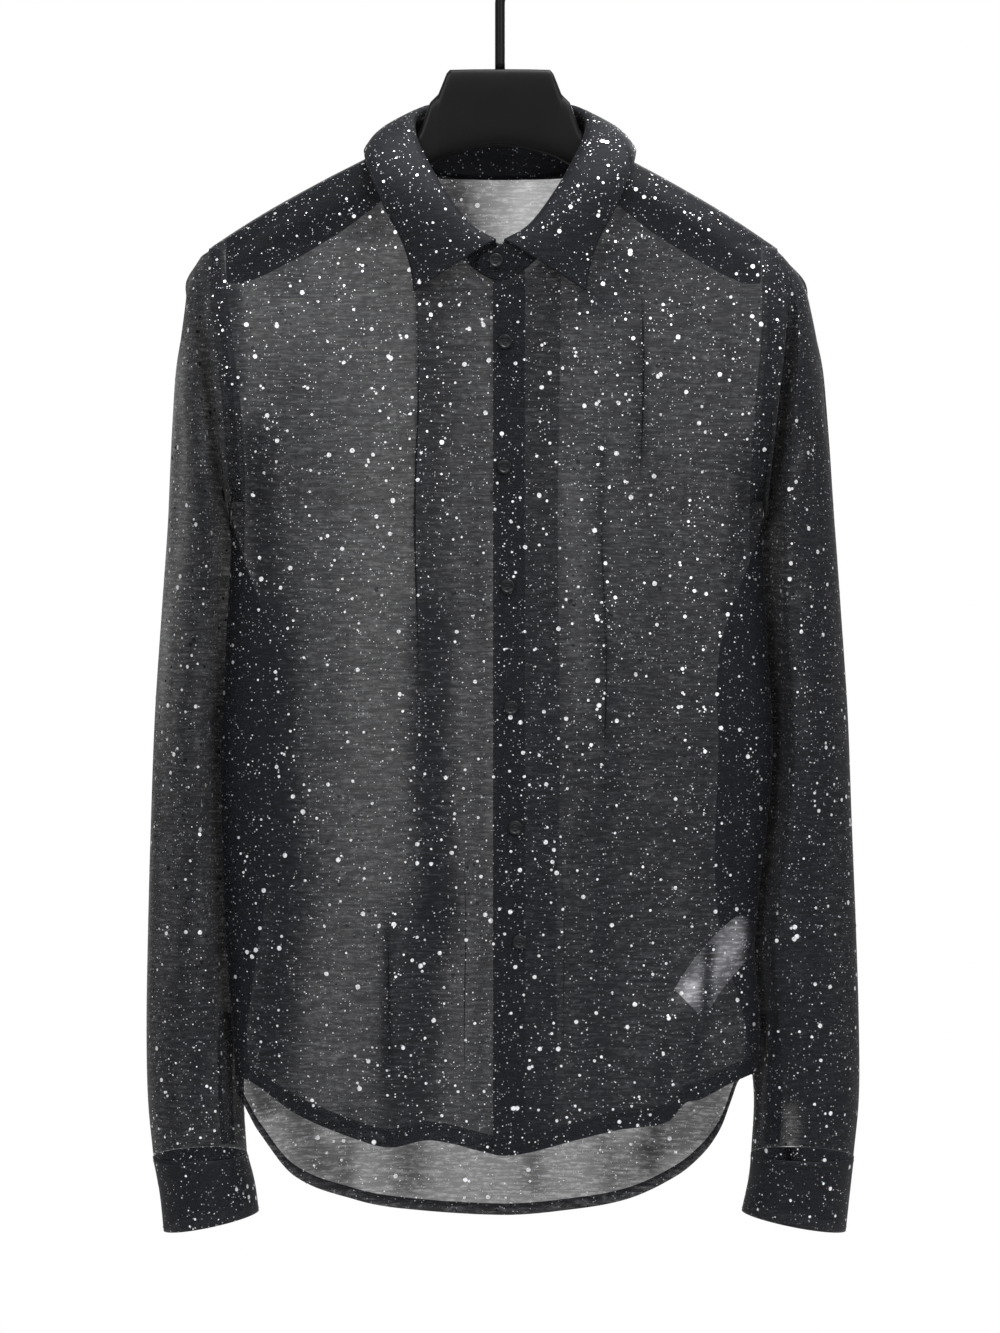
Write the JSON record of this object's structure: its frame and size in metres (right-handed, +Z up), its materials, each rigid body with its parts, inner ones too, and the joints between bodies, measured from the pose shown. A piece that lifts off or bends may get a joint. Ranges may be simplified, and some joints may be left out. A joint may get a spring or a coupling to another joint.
{
  "type": "glitter shirt on a hanger",
  "caption": "Sheer black long-sleeved button-up shirt with a pointed collar, hanging on a broad plastic hanger.",
  "frame": {"origin": "the saddle of the hanger's hook, the inner top of the hook, where a rail carries it", "axes": "+X to the right of the front view, +Y backward (the front faces -Y), +Z up"},
  "size_m": [0.5254, 0.1181, 0.9671],
  "materials": {
    "cloth": "sheer crinkled cloth with silver foil dots",
    "button": "satin",
    "label": "smooth satin tape",
    "hanger": "satin moulded",
    "hook": "black lacquer"
  },
  "bodies": {
    "root": {"front_over": "cloth", "front_under": "cloth", "back": "cloth", "facing_over": "cloth", "facing_under": "cloth", "collar_leaf": "cloth", "collar_stand": "cloth", "sleeve_left": "cloth", "sleeve_right": "cloth", "placket_left": "cloth", "placket_right": "cloth", "cuff_left": "cloth", "cuff_right": "cloth", "care_label": "label", "hanger_body": "hanger", "hanger_hook": "hook", "button_1": "button", "button_2": "button", "button_3": "button", "button_4": "button", "button_5": "button", "button_6": "button", "button_7": "button", "cuff_button_left": "button", "cuff_button_right": "button"}
  },
  "joints": []
}
